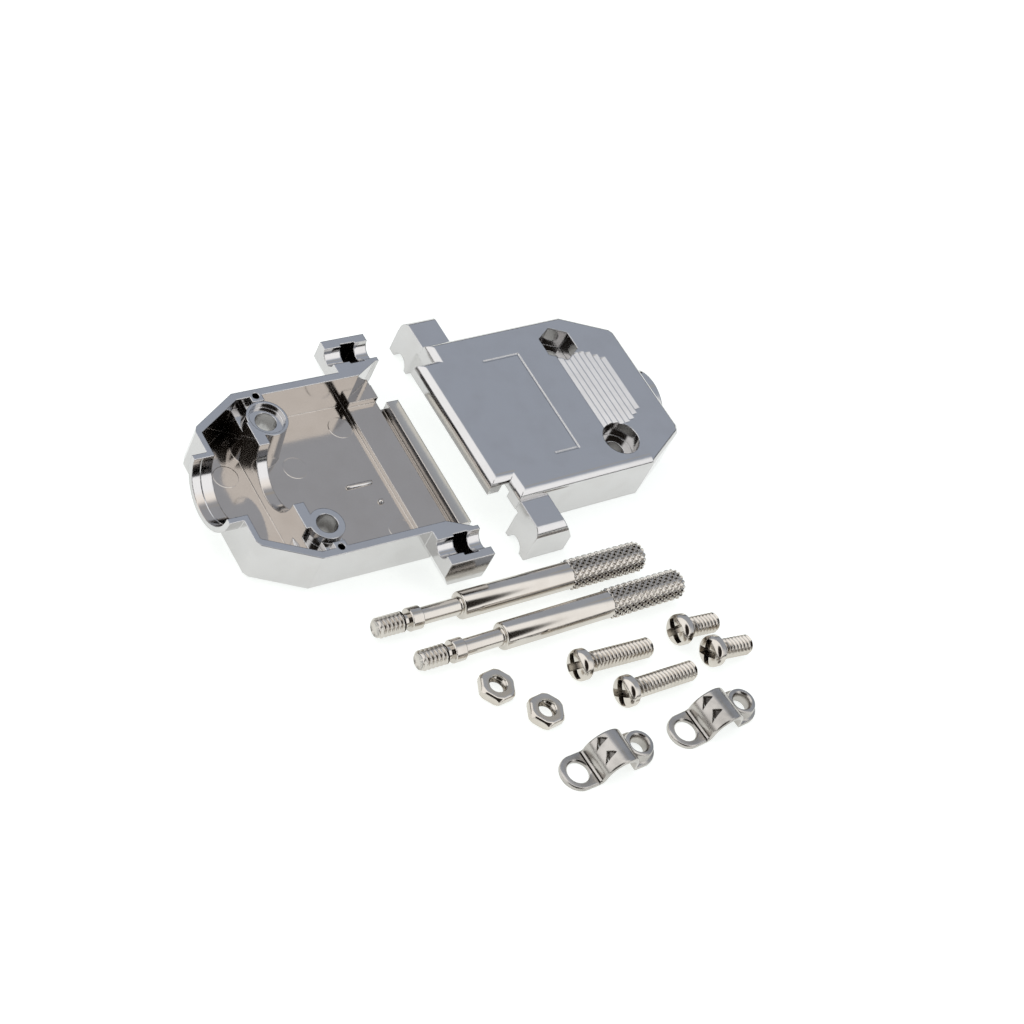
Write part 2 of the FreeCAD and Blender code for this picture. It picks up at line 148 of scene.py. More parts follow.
# Collar of the tapped lug and its hole, as (radius, height)
TAPPED_BOSS = 2.1
BOSS_TOP = 1.9
BOSS_PROFILE = ((0.0, 0.3), (TAPPED_BOSS + 0.3, 0.3), (TAPPED_BOSS + 0.3, CLAMP_PLATE + 0.02),
                (TAPPED_BOSS + 0.1, CLAMP_PLATE + 0.12), (TAPPED_BOSS, CLAMP_PLATE + 0.35),
                (TAPPED_BOSS - 0.04, BOSS_TOP - 0.35), (TAPPED_BOSS - 0.16, BOSS_TOP - 0.1),
                (TAPPED_BOSS - 0.38, BOSS_TOP), (0.0, BOSS_TOP))
BORE_PROFILE = ((0.0, -CUT_PAST), (NUT_BORE, -CUT_PAST), (NUT_BORE, BOSS_TOP - 0.4),
                (NUT_BORE + 0.1, BOSS_TOP - 0.2), (NUT_BORE + 0.32, BOSS_TOP + 0.05),
                (NUT_BORE + 0.32, BOSS_TOP + CUT_PAST), (0.0, BOSS_TOP + CUT_PAST))

# Crease across the plain lug: how far before the foot of the arch, half length, and the
# corners of its section from there and from the lug's upper face
CREASE_BEFORE_FOOT = 0.3
CREASE_REACH = 3.0
CREASE_SECTION = ((0.06, -0.36), (0.24, -0.36), (0.34, 0.3), (-0.04, 0.3))

# Claws: their y, corners as (angle up the arch, y from there), and how far the tongue's two
# faces lie outside the arch's inner face at each corner
CLAWS = (-1.2, 1.0)
OPENING_CORNERS = ((31.0, -0.15), (54.0, 1.35), (75.0, 0.6))
OPENING_IN = 0.3
OPENING_OUT = 0.4
TONGUE_CORNERS = ((27.0, -0.35), (52.0, 1.6), (80.0, 0.65))
TONGUE_LOWER = (-0.9, -0.4, -0.15)
TONGUE_UPPER = (-0.7, -0.2, 0.05)

# Casting marks inside a half; a ridge is x, y, radius and length
SHELL_FLOOR = 1.2
SHELL_HEIGHT = 7.6
PIN_MARKS = ((14.8, 4.4), (24.6, -8.7), (24.4, 9.2), (4.6, 5.4))
PIN_RADIUS = 1.8
PIN_RISE = 0.03
PIN_RIM = 0.05
PIN_BORDER = 0.12
BAR_MARK = (22.3, -0.45, 0.37, 3.4)
DOT_MARK = (24.0, -3.8, 0.45, 0.0)
RIDGE_COLUMNS = 24
RIDGE_ROWS = 6
COLLAR_BORE = 4.9
BORE_LINE_X = -0.85
BORE_LINE_HALF = 0.12
BORE_LINE_RISE = 0.08
BORE_LINE_SUNK = 0.02

# Places on the table: x, y and turn, for the pan screws after the shank and before the roll
SECOND_HALF = (71.08, 2.62)
SECOND_HALF_TURN = 1.04
THUMBSCREWS = {"thumbscrew_1": (12.8, -22.45, 0.0), "thumbscrew_2": (16.1, -28.65, 0.7)}
NUTS = {"nut_1": (25.26, -34.79, 7.0), "nut_2": (30.04, -40.11, 7.0)}
PAN_SCREWS = {"housing_screw_1": (LONG_SHANK, 38.3, -35.83, 0.0, 25.0),
              "housing_screw_2": (LONG_SHANK, 42.6, -41.42, 2.4, 40.0),
              "clamp_screw_1": (SHORT_SHANK, 55.9, -35.05, 0.0, 20.0),
              "clamp_screw_2": (SHORT_SHANK, 58.75, -39.55, -1.4, 55.0)}
CLAMPS = {"cable_clamp_1": (29.86, -49.43, 3.6), "cable_clamp_2": (48.36, -48.6, 5.8)}

# Plating: scale and detail of its noises, and ramps as (start, end, low, high)
CLOUD = (260.0, 4.0)
RIPPLE = (420.0, 1.5)
GRAIN = (5200.0, 3.0)
STAIN_RAMP = (0.45, 0.75, 0.0, 0.5)
GRAIN_ROUGHNESS = 0.12
RIPPLE_METRES = 0.0001
GRAIN_METRES = 0.00001
BEVEL_SAMPLES = 6

# Painted shade: nooks are darkened towards a near-black colour where little of the surroundings is
# open
NOOK_REACH = 4.0
NOOK_SAMPLES = 16
NOOK_RAMP = (0.12, 0.42, 0.15, 1.0)
NOOK_SHADE_COLOUR = (0.06, 0.052, 0.047, 1.0)

# Painted shade: on the inside of the half, faces that look up and lie low are darkened and warmed.
# At the lip, whose X is measured in the imported frame and not from ORIGIN, these faces are made a
# little lighter instead.
LEVEL_RAMP = (0.8, 0.97)
LOW_RAMP = (3.6 * MM, 3.2 * MM)
LIP_RAMP = (-3.4 * MM, -1.6 * MM)
TRAY_SHADE = (0.96, 0.885, 0.80, 1.0)
LIP_LIGHTENING = (1.08, 1.07, 0.98, 1.0)

# White paper that glows a little, a square of twice this reach
FLOOR_METRES = 3.0
PAPER = {"Base Color": (0.49, 0.49, 0.475, 1.0), "Roughness": 1.0, "Specular IOR Level": 0.0,
         "Emission Color": (0.97, 1.0, 0.985, 1.0), "Emission Strength": 0.78}

# Soft tent, colours by radiance. Each patch lies over the ones before it: azimuth from +X and
# elevation of its middle, full within the third angle and gone beyond the fourth.
SKY_WHITE = (1.35, 1.35, 1.36, 1.0)
SKY_GREY = (0.456, 0.498, 0.578, 1.0)
SKY_WARM = (0.50, 0.495, 0.48, 1.0)
SKY_DARK = (0.02, 0.016, 0.013, 1.0)
BEYOND_OBJECT = (36.8, -23.0, 84.5, 94.5)
LOW_RIGHT = (28.0, 52.0, 4.5, 7.0)
CAMERA_SIDE = (-120.0, 45.0, 33.0, 42.0)
TABLE_RIM = (0.0, -90.0, 93.5, 101.5)
SKY_PATCHES = ((SKY_GREY, BEYOND_OBJECT), (SKY_WARM, LOW_RIGHT),
               (SKY_DARK, CAMERA_SIDE), (SKY_DARK, TABLE_RIM))


def sharpen(mesh, smooth_angle):
    """Smooth shading with hard edges where faces meet at more than the angle."""
    bm = bmesh.new()
    bm.from_mesh(mesh)
    bmesh.ops.remove_doubles(bm, verts=bm.verts, dist=1e-7)
    bmesh.ops.recalc_face_normals(bm, faces=bm.faces)
    limit = math.radians(smooth_angle)
    for edge in bm.edges:
        edge.smooth = len(edge.link_faces) != 2 or edge.calc_face_angle(0.0) <= limit
    for face in bm.faces:
        face.smooth = True
    bm.to_mesh(mesh)
    bm.free()


def mesh_piece(name, points, faces, smooth_angle=SMOOTH_ANGLE):
    """Object from points in millimetres of its own frame."""
    mesh = bpy.data.meshes.new(name)
    mesh.from_pydata([Vector(p) * MM for p in points], [], faces)
    sharpen(mesh, smooth_angle)
    piece = bpy.data.objects.new(name, mesh)
    bpy.context.scene.collection.objects.link(piece)
    return piece


def grid_faces(rows, columns):
    """Four-sided faces between rows of points."""
    faces = []
    for i in range(rows - 1):
        for j in range(columns - 1):
            a = i * columns + j
            faces.append((a, a + 1, a + columns + 1, a + columns))
    return faces


def joined(*parts):
    """One set of points and faces from several."""
    points, faces = [], []
    for more, tiles in parts:
        start = len(points)
        points += more
        faces += [tuple(start + corner for corner in tile) for tile in tiles]
    return points, faces


def ring_point(x, radius, angle):
    """Point of a ring about X."""
    return (x, radius * math.cos(angle), radius * math.sin(angle))


def round_ring(radius, z, columns=AROUND, x=0.0, y=0.0):
    """Level ring about an upright line through x and y."""
    angles = [2 * math.pi * j / columns for j in range(columns + 1)]
    return [(x + radius * math.cos(a), y + radius * math.sin(a), z) for a in angles]


def turned(profile):
    """Surface of revolution about X through (x, radius) points."""
    points = []
    for x, radius in profile:
        for j in range(AROUND + 1):
            points.append(ring_point(x, radius, 2 * math.pi * j / AROUND))
    return points, grid_faces(len(profile), AROUND + 1)


def thread(x0, x1):
    """Helical v-thread, its rows following the helix; the spare turns lie flat in the ends."""
    steps, columns = len(THREAD_FORM), THREAD_COLUMNS
    rows = (int((x1 - x0) / THREAD_PITCH) + SPARE_TURNS) * steps + 1
    points = []
    for i in range(rows):
        height = THREAD_FORM[i % steps]
        for j in range(columns + 1):
            x = x0 + THREAD_PITCH * (i / steps - 1.0 + j / columns)
            radius = THREAD_RADIUS - THREAD_DEPTH * (1.0 - height)
            radius = min(radius, THREAD_TIP + max(0.0, x - x0))
            x = min(max(x, x0), x1)
            points.append(ring_point(x, radius, 2 * math.pi * j / columns))
    return points, grid_faces(rows, columns + 1)


def knurl(x0, x1):
    """Diamond knurl: pyramids between two crossing families of grooves."""
    diamond = 2.0 * KNURL_FINE
    columns = KNURL_COUNT * 2 * KNURL_FINE
    rows = int(round((x1 - x0) / (KNURL_PITCH / 2.0))) * KNURL_FINE + 1
    points = []
    for i in range(rows):
        x = x0 + (x1 - x0) * i / (rows - 1)
        left = min(1.0, (x1 - x) / KNURL_END_FADE, (x - x0) / KNURL_START_FADE + KNURL_START_LEFT)
        for j in range(columns + 1):
            a, b = (i + j) / diamond, (i - j) / diamond
            rise = 2.0 * min(abs(a - round(a)), abs(b - round(b)))
            height = min(1.0, KNURL_STEEPNESS * rise)
            radius = KNURL_RADIUS - KNURL_DEPTH * (1.0 - height) - KNURL_END_DROP * (1.0 - left)
            points.append(ring_point(x, radius, 2 * math.pi * j / columns))
    return points, grid_faces(rows, columns + 1)


def placed(piece, x, y, z, turn, tilt=0.0, roll=0.0):
    """Lays a piece on the table; its three angles are in radians."""
    spin = Matrix.Rotation(turn, 4, "Z") @ Matrix.Rotation(tilt, 4, "Y")
    spin = spin @ Matrix.Rotation(roll, 4, "X")
    place = Matrix.Translation(ORIGIN + Vector((x, y, z)) * MM)
    piece.data.transform(place @ spin)
    return piece


def combine(piece, other, operation="DIFFERENCE"):
    """Boolean with another piece, applied to the mesh; the other piece is used up."""
    step = piece.modifiers.new("form", "BOOLEAN")
    step.operation = operation
    step.solver = "EXACT"
    step.object = other
    view = bpy.context.evaluated_depsgraph_get()
    mesh = bpy.data.meshes.new_from_object(piece.evaluated_get(view))
    piece.modifiers.clear()
    piece.data = mesh
    sharpen(mesh, SMOOTH_ANGLE)
    bpy.data.objects.remove(other)


def add_mesh(piece, other):
    """Lays another piece's mesh into this one; the other piece is used up."""
    bm = bmesh.new()
    bm.from_mesh(piece.data)
    bm.from_mesh(other.data)
    bm.to_mesh(piece.data)
    bm.free()
    bpy.data.objects.remove(other)


def thumbscrew(name, x, y, turn):
    """Turned screw with thread, neck, stop collar, shaft, barrel and knurled grip."""
    bevel = SCREW_BEVEL
    nose = [(0.0, 0.0), (0.0, THREAD_TIP)]
    front = [(THREAD_END, THREAD_ROOT), (THREAD_END, NECK_RADIUS), (NECK_END, NECK_RADIUS),
             (NECK_END, STOP_RADIUS - bevel), (NECK_END + bevel, STOP_RADIUS),
             (STOP_END - bevel, STOP_RADIUS), (STOP_END, STOP_RADIUS - bevel),
             (STOP_END, SHAFT_RADIUS), (SHAFT_END - bevel, SHAFT_RADIUS),
             (SHAFT_END, SHAFT_RADIUS + bevel), (SHAFT_END, BARREL_RADIUS - 2 * bevel),
             (SHAFT_END + bevel, BARREL_RADIUS - bevel / 2),
             (SHAFT_END + 2 * bevel, BARREL_RADIUS), (BARREL_END, BARREL_RADIUS)]
    tail = [(SCREW_END, KNURL_RADIUS - KNURL_DEPTH - KNURL_END_DROP), (SCREW_END, 0.0)]
    points, faces = joined(turned(nose), thread(0.0, THREAD_END), turned(front),
                           knurl(BARREL_END, SCREW_END), turned(tail))
    piece = mesh_piece(name + "_turned", points, faces)
    tilt = math.atan2(KNURL_RADIUS - BARREL_RADIUS, BARREL_END - SHAFT_END)
    height = BARREL_RADIUS * math.cos(tilt) - SHAFT_END * math.sin(tilt)
    return placed(piece, x, y, height, math.radians(turn), -tilt)


def head_dome():
    """Profile of a pan head from its rim to its flat top."""
    profile = []
    for k in range(HEAD_STEPS + 1):
        a = math.radians(90 * k / HEAD_STEPS)
        profile.append((-HEAD_RIM - (HEAD_HEIGHT - HEAD_RIM) * math.sin(a),
                        HEAD_FLAT + (HEAD_RADIUS - HEAD_FLAT) * math.cos(a)))
    return profile


def recess_cutter(length, width, depth, turn):
    """Tapered bar that sinks into the head."""
    points = []
    for x, grow in ((depth - HEAD_HEIGHT, 1 - RECESS_TAPER),
                    (-HEAD_HEIGHT - RECESS_ABOVE, 1 + RECESS_TAPER)):
        for y, z in ((-1, -1), (1, -1), (1, 1), (-1, 1)):
            points.append((x, y * length / 2 * grow, z * width / 2 * grow))
    cutter = mesh_piece("cutter", points, BOX_FACES)
    cutter.data.transform(Matrix.Rotation(turn, 4, "X"))
    return cutter


def pan_screw(name, shank, x, y, turn, roll):
    """Pan-head screw with a slot crossed by a short recess."""
    back = [(0.0, 0.0), (0.0, THREAD_ROOT)]
    head = [(0.0, THREAD_ROOT), (0.0, HEAD_RADIUS - SCREW_BEVEL), (-SCREW_BEVEL, HEAD_RADIUS),
            *head_dome(), (-HEAD_HEIGHT, 0.0)]
    piece = mesh_piece(name + "_head", *joined(turned(back), turned(head)))
    combine(piece, recess_cutter(*SLOT_RECESS, 0.0))
    combine(piece, recess_cutter(*CROSS_RECESS, math.pi / 2))
    tip = [(-shank, 0.0), (-shank, THREAD_TIP)]
    points, faces = joined(thread(-shank, 0.0), turned(tip))
    # Half a turn about Y brings the tip to +X and keeps the thread right-hand
    shaft = mesh_piece(name + "_shank", [(-px, py, -pz) for px, py, pz in points], faces)
    lean = math.atan2(HEAD_RADIUS - THREAD_RADIUS, shank)
    height = HEAD_RADIUS * math.cos(lean)
    for part in (piece, shaft):
        placed(part, x, y, height, math.radians(turn), lean, math.radians(roll))
    return [piece, shaft]


def hexagon_ring(inset, z, corner):
    """Hexagon drawn in by the inset, its corners cut to a circle."""
    ring = []
    for j in range(NUT_COLUMNS + 1):
        angle = 2 * math.pi * j / NUT_COLUMNS
        part = (angle + math.pi / 3) % (math.pi / 3) - math.pi / 6
        reach = min((NUT_FLATS / 2 - inset) / math.cos(part), corner)
        ring.append((reach * math.cos(angle), reach * math.sin(angle), z))
    return ring


def bore_thread(low, high):
    """Rings of the nut's thread, from above; the spare turns lie flat in the ends."""
    steps = len(NUT_THREAD_FORM)
    rings = []
    for i in range(steps * (int(high / THREAD_PITCH) + SPARE_TURNS)):
        radius = NUT_BORE + NUT_THREAD_DEPTH * NUT_THREAD_FORM[i % steps]
        ring = []
        for j in range(NUT_COLUMNS + 1):
            level = high + THREAD_PITCH * (1.0 - i / steps + j / NUT_COLUMNS)
            angle = 2 * math.pi * j / NUT_COLUMNS
            ring.append((radius * math.cos(angle), radius * math.sin(angle),
                         min(high, max(low, level))))
        rings.append(ring)
    return rings


def hexagon_nut(name, x, y, turn):
    """Nut with rolled edges, cut corners and a threaded hole."""
    edge = []
    for k in range(NUT_EDGE_STEPS + 1):
        t = math.radians(90 * k / NUT_EDGE_STEPS)
        edge.append((NUT_EDGE * (1 - math.sin(t)), NUT_EDGE * (1 - math.cos(t)),
                     NUT_CORNER + NUT_CORNER_STEP * k))
    low = NUT_FLARE - NUT_BORE
    high = NUT_THICKNESS - low
    rings = [round_ring(NUT_BORE, low, NUT_COLUMNS), round_ring(NUT_FLARE, 0.0, NUT_COLUMNS)]
    rings += [hexagon_ring(inset, drop, corner) for inset, drop, corner in edge]
    rings += [hexagon_ring(inset, NUT_THICKNESS - drop, corner)
              for inset, drop, corner in reversed(edge)]
    rings.append(round_ring(NUT_FLARE, NUT_THICKNESS, NUT_COLUMNS))
    rings.append(round_ring(NUT_BORE, high, NUT_COLUMNS))
    rings += bore_thread(low, high)
    rings.append(rings[0])
    points = [p for ring in rings for p in ring]
    faces = grid_faces(len(rings), NUT_COLUMNS + 1)
    piece = mesh_piece(name + "_turned", points, faces, NUT_SMOOTH_ANGLE)
    return placed(piece, x, y, 0.0, math.radians(turn))


def lathe_z(name, profile, x):
    """Closed solid turned about an upright line through x, from (radius, z) points."""
    points = [p for radius, z in profile for p in round_ring(radius, z, x=x)]
    return mesh_piece(name, points, grid_faces(len(profile), AROUND + 1))


def on_arch(angle, radius, y):
    """Point of the arch by its angle up from the plain lug's side."""
    a = math.radians(angle)
    return (ARCH_X - radius * math.cos(a), y, ARCH_TOP - ARCH_RADIUS + radius * math.sin(a))


def mirrored(stations, twin_sum):
    """Stations of the other side; the x of a station and its twin add up to the given sum."""
    return [((twin_sum - upper[0], upper[1]), (twin_sum - lower[0], lower[1]), wide)
            for upper, lower, wide in reversed(stations)]


def strap_stations():
    """Upper and lower point of the strap as (x, z) with its half width, from tip to tip."""
    wide = CLAMP_LUG_RADIUS
    lug = []
    for k in range(LUG_STEPS + 1):
        x = -wide * math.cos(math.radians(90 * k / LUG_STEPS))
        lug.append(((x, CLAMP_PLATE), (x, 0.0), math.sqrt(max(0.0, wide ** 2 - x ** 2))))
    knee = CLAMP_PLATE + BEND_RADIUS
    side = [((FOOT_X, CLAMP_PLATE), (FOOT_X, 0.0), wide)]
    for k in range(1, 7):
        t = math.radians(-90 + 15 * k)
        upper = (FOOT_X + BEND_RADIUS * math.cos(t), knee + BEND_RADIUS * math.sin(t))
        lower = (FOOT_X + knee * math.cos(t), knee + knee * math.sin(t))
        side.append((upper, lower, wide))
    for k in range(2, 23):
        outer = on_arch(4 * k, ARCH_RADIUS, 0.0)
        inner = on_arch(4 * k, ARCH_INSIDE, 0.0)
        side.append(((outer[0], outer[2]), (inner[0], inner[2]), wide))
    return lug + side + mirrored(side, 2 * ARCH_X) + mirrored(lug, CLAMP_SPACING)


def strap(name):
    """Bent strip with rolled upper edges and round ends."""
    points = []
    stations = strap_stations()
    ends = (stations[0][0][0], stations[-1][0][0])
    for (ux, uz), (lx, lz), width in stations:
        roll = min(EDGE_ROLL, width)
        near_end = min(abs(ux - ends[0]), abs(ux - ends[1]))
        drop = 0.0
        if near_end < EDGE_ROLL:
            drop = EDGE_ROLL - math.sqrt(EDGE_ROLL ** 2 - (EDGE_ROLL - near_end) ** 2)
        thick = math.hypot(ux - lx, uz - lz)
        down = ((lx - ux) / thick, (lz - uz) / thick)
        ring = []
        for side, angles in ((-1, EDGE_ANGLES), (1, reversed(EDGE_ANGLES))):
            for t in angles:
                sink = min(drop + roll * (1 - math.cos(math.radians(t))), thick - EDGE_LEFT)
                reach = width - roll + roll * math.sin(math.radians(t))
                ring.append((ux + down[0] * sink, side * reach, uz + down[1] * sink))
        ring.append((lx, width, lz))
        ring.append((lx, -width, lz))
        ring.append(ring[0])
        points += ring
    return mesh_piece(name, points, grid_faces(len(stations), len(ring)))


def wedge(name, across, corners, radii_low, radii_high):
    """Three-sided prism through the arch; corners are (angle, y from across)."""
    points = []
    for radii in (radii_low, radii_high):
        for (angle, shift), radius in zip(corners, radii):
            points.append(on_arch(angle, radius, across + shift))
    faces = [(0, 1, 2), (3, 4, 5), (0, 1, 4, 3), (1, 2, 5, 4), (2, 0, 3, 5)]
    return mesh_piece(name, points, faces)


def cable_clamp(name, x, y, turn):
    """Pressed strap: plain lug, arch with two lanced claws, tapped lug drawn up to a collar."""
    piece = strap(name + "_pressed")
    combine(piece, lathe_z("boss", BOSS_PROFILE, CLAMP_SPACING), "UNION")
    combine(piece, lathe_z("bore", BORE_PROFILE, CLAMP_SPACING))
    wide = PLAIN_HOLE + PLAIN_HOLE_BEVEL
    hole = ((0.0, -CUT_PAST), (PLAIN_HOLE, -CUT_PAST), (PLAIN_HOLE, CLAMP_PLATE - PLAIN_HOLE_BEVEL),
            (wide, CLAMP_PLATE + 0.01), (wide, 2 * CLAMP_PLATE), (0.0, 2 * CLAMP_PLATE))
    combine(piece, lathe_z("hole", hole, 0.0))
    crease = [(FOOT_X - CREASE_BEFORE_FOOT + dx, end, CLAMP_PLATE + dz)
              for end in (-CREASE_REACH, CREASE_REACH) for dx, dz in CREASE_SECTION]
    combine(piece, mesh_piece("crease", crease, BOX_FACES))
    for across in CLAWS:
        combine(piece, wedge("opening", across, OPENING_CORNERS,
                             (ARCH_INSIDE - OPENING_IN,) * 3, (ARCH_RADIUS + OPENING_OUT,) * 3))
    for across in CLAWS:
        add_mesh(piece, wedge("tongue", across, TONGUE_CORNERS,
                              [ARCH_INSIDE + rise for rise in TONGUE_LOWER],
                              [ARCH_INSIDE + rise for rise in TONGUE_UPPER]))
    return placed(piece, x, y, 0.0, math.radians(turn))


def pin_mark(x, y):
    """Low round step left by an ejector pin."""
    points = round_ring(PIN_RADIUS, SHELL_FLOOR, x=x, y=y)
    for border in (PIN_RIM, PIN_BORDER):
        points += round_ring(PIN_RADIUS - border, SHELL_FLOOR + PIN_RISE, x=x, y=y)
    top = tuple(2 * (AROUND + 1) + j for j in range(AROUND))
    return points, grid_faces(3, AROUND + 1) + [top]


def ridge(x, y, radius, length):
    """Low rounded ridge along X with ball ends; a ball when its length is 0."""
    points = []
    for i in range(RIDGE_ROWS + 1):
        up = math.radians(90 * i / RIDGE_ROWS)
        for j in range(RIDGE_COLUMNS + 1):
            angle = 2 * math.pi * j / RIDGE_COLUMNS
            middle = j % (RIDGE_COLUMNS // 2) == RIDGE_COLUMNS // 4
            shift = 0.0 if middle else math.copysign(length / 2, math.cos(angle))
            points.append((x + shift + radius * math.cos(up) * math.cos(angle),
                           y + radius * math.cos(up) * math.sin(angle),
                           SHELL_FLOOR + radius * math.sin(up)))
    return points, grid_faces(RIDGE_ROWS + 1, RIDGE_COLUMNS + 1)


def bore_line():
    """Fine ridge half way along the round cable entry."""
    foot = COLLAR_BORE + BORE_LINE_SUNK
    points = []
    for dx, radius in ((-BORE_LINE_HALF, foot), (0.0, COLLAR_BORE - BORE_LINE_RISE),
                       (BORE_LINE_HALF, foot)):
        for j in range(AROUND + 1):
            angle = math.pi * (1 + j / AROUND)
            points.append((BORE_LINE_X + dx, radius * math.cos(angle),
                           SHELL_HEIGHT + radius * math.sin(angle)))
    return points, grid_faces(3, AROUND + 1)


def casting_marks(name, side_up):
    """Ejector pin marks, bar, dot and entry line on the inside of a half shell."""
    pins = [pin_mark(*spot) for spot in PIN_MARKS]
    points, faces = joined(*pins, ridge(*BAR_MARK), ridge(*DOT_MARK), bore_line())
    piece = mesh_piece(name + "_casting_marks", points, faces)
    if side_up:
        return placed(piece, 0.0, 0.0, 0.0, 0.0)
    return placed(piece, *SECOND_HALF, SHELL_HEIGHT, math.radians(SECOND_HALF_TURN), math.pi)


def node(tree, kind, feeds=None, **properties):
    """New node; what feeds an input is another node's output or a plain value."""
    made = tree.nodes.new(kind)
    for key, value in properties.items():
        setattr(made, key, value)
    for socket, value in (feeds or {}).items():
        if isinstance(value, bpy.types.NodeSocket):
            tree.links.new(value, made.inputs[socket])
        else:
            made.inputs[socket].default_value = value
    return made


def noise(tree, place, scale, detail):
    """Noise over a place, from 0 to 1."""
    feeds = {"Vector": place, "Scale": scale, "Detail": detail}
    return node(tree, "ShaderNodeTexNoise", feeds).outputs["Fac"]


def ramp(tree, value, start, end, low=0.0, high=1.0, kind="LINEAR"):
    """Goes from low to high while the value goes from start to end."""
    feeds = {"Value": value, "From Min": start, "From Max": end, "To Min": low, "To Max": high}
    return node(tree, "ShaderNodeMapRange", feeds, interpolation_type=kind).outputs["Result"]


def mixed(tree, mask, below, above, kind="MIX"):
    """Colour that is below where the mask is 0 and above where it is 1."""
    feeds = {"Factor": mask, "A": below, "B": above}
    made = node(tree, "ShaderNodeMix", feeds, data_type="RGBA", blend_type=kind)
    return made.outputs["Result"]


def product(tree, first, second):
    """Two values multiplied."""
    feeds = {0: first, 1: second}
    return node(tree, "ShaderNodeMath", feeds, operation="MULTIPLY").outputs["Value"]


def bumped(tree, normal, height, strength, distance):
    """Normal leaned by a height."""
    feeds = {"Normal": normal, "Height": height, "Strength": strength, "Distance": distance}
    return node(tree, "ShaderNodeBump", feeds).outputs["Normal"]


def cast_skin_group():
    """Colour patches, roughness and fine ripple of plating over a cast or worked surface, with
    painted shade in nooks and on low inside faces that look up, lighter at the lip.
    """
    group = bpy.data.node_groups.new("plated_skin_and_painted_shade", "ShaderNodeTree")
    for way, kind, names in (("INPUT", "NodeSocketColor", ("Color", "Stain")),
                             ("INPUT", "NodeSocketFloat",
                              ("Roughness", "Ripple", "Grain", "Corner", "Inside")),
                             ("OUTPUT", "NodeSocketColor", ("Color",)),
                             ("OUTPUT", "NodeSocketFloat", ("Roughness",)),
                             ("OUTPUT", "NodeSocketVector", ("Normal",))):
        for name in names:
            group.interface.new_socket(name, in_out=way, socket_type=kind)
    given = node(group, "NodeGroupInput").outputs
    place = node(group, "ShaderNodeTexCoord").outputs["Object"]
    grain = noise(group, place, *GRAIN)

    stained = ramp(group, noise(group, place, *CLOUD), *STAIN_RAMP)
    metal = mixed(group, stained, given["Color"], given["Stain"])
    faced = node(group, "ShaderNodeNewGeometry").outputs["Normal"]
    facing = node(group, "ShaderNodeSeparateXYZ", {"Vector": faced}).outputs
    spot = node(group, "ShaderNodeSeparateXYZ", {"Vector": place}).outputs
    # Painted shade on low faces that look up inside a half, made a little lighter at the lip
    tray_shade_mask = product(group, ramp(group, facing["Z"], *LEVEL_RAMP), ramp(group, spot["Z"], *LOW_RAMP))
    tray_shade_and_lip_lightening = mixed(group, ramp(group, spot["X"], *LIP_RAMP), TRAY_SHADE, LIP_LIGHTENING)
    metal = mixed(group, product(group, tray_shade_mask, given["Inside"]), metal, tray_shade_and_lip_lightening, "MULTIPLY")
    # Painted shade: the colour is darkened towards near black where the occlusion finds little open
    nook = node(group, "ShaderNodeAmbientOcclusion", {"Distance": NOOK_REACH * MM},
                samples=NOOK_SAMPLES, only_local=True)
    lit = ramp(group, nook.outputs["AO"], *NOOK_RAMP, "SMOOTHSTEP")

    rough = node(group, "ShaderNodeMath", {0: grain, 1: GRAIN_ROUGHNESS, 2: given["Roughness"]},
                 operation="MULTIPLY_ADD")
    soft = node(group, "ShaderNodeBevel", {"Radius": given["Corner"]}, samples=BEVEL_SAMPLES)
    ripple = noise(group, place, *RIPPLE)
    wave = bumped(group, soft.outputs["Normal"], ripple, given["Ripple"], RIPPLE_METRES)
    pits = bumped(group, wave, grain, given["Grain"], GRAIN_METRES)
    node(group, "NodeGroupOutput", {"Color": mixed(group, lit, NOOK_SHADE_COLOUR, metal),
                                    "Roughness": rough.outputs["Value"], "Normal": pits})
    return group


SKIN = cast_skin_group()


def plated_metal(name, color, stain, roughness, ripple, grain, corner, inside=0.0):
    """Plated skin on metal with painted shade in nooks; corner is the radius that softens its
    edges, and inside turns on the painted shade of low up-facing faces and the lighter lip.
    """
    material = bpy.data.materials.new(name)
    material.use_nodes = True
    tree = material.node_tree
    shader = tree.nodes["Principled BSDF"]
    shader.inputs["Metallic"].default_value = 1.0
    feeds = {"Color": (*color, 1.0), "Stain": (*stain, 1.0), "Roughness": roughness,
             "Ripple": ripple, "Grain": grain, "Corner": corner * MM, "Inside": inside}
    skin = node(tree, "ShaderNodeGroup", feeds, node_tree=SKIN).outputs
    tree.links.new(skin["Color"], shader.inputs["Base Color"])
    tree.links.new(skin["Roughness"], shader.inputs["Roughness"])
    tree.links.new(skin["Normal"], shader.inputs["Normal"])
    return material


def give(piece, material):
    piece.data.materials.clear()
    piece.data.materials.append(material)


def white_floor():
    mesh = bpy.data.meshes.new("table")
    far = FLOOR_METRES
    mesh.from_pydata([(-far, -far, 0), (far, -far, 0), (far, far, 0), (-far, far, 0)],
                     [], [(0, 1, 2, 3)])
    floor = bpy.data.objects.new("table", mesh)
    bpy.context.scene.collection.objects.link(floor)
    paper = bpy.data.materials.new("white_paper")
    paper.use_nodes = True
    shader = paper.node_tree.nodes["Principled BSDF"]
    for socket, value in PAPER.items():
        shader.inputs[socket].default_value = value
    give(floor, paper)


def toward(azimuth, elevation):
    """Unit vector from two angles."""
    a, e = math.radians(azimuth), math.radians(elevation)
    return Vector((math.cos(e) * math.cos(a), math.cos(e) * math.sin(a), math.sin(e)))


def soft_patch(tree, where, azimuth, elevation, full, none):
    """Mask that is 1 within the full angle of a direction and 0 beyond the other."""
    feeds = {0: where, 1: toward(azimuth, elevation)}
    dot = node(tree, "ShaderNodeVectorMath", feeds, operation="DOT_PRODUCT")
    start, end = math.cos(math.radians(none)), math.cos(math.radians(full))
    return ramp(tree, dot.outputs["Value"], start, end, kind="SMOOTHSTEP")


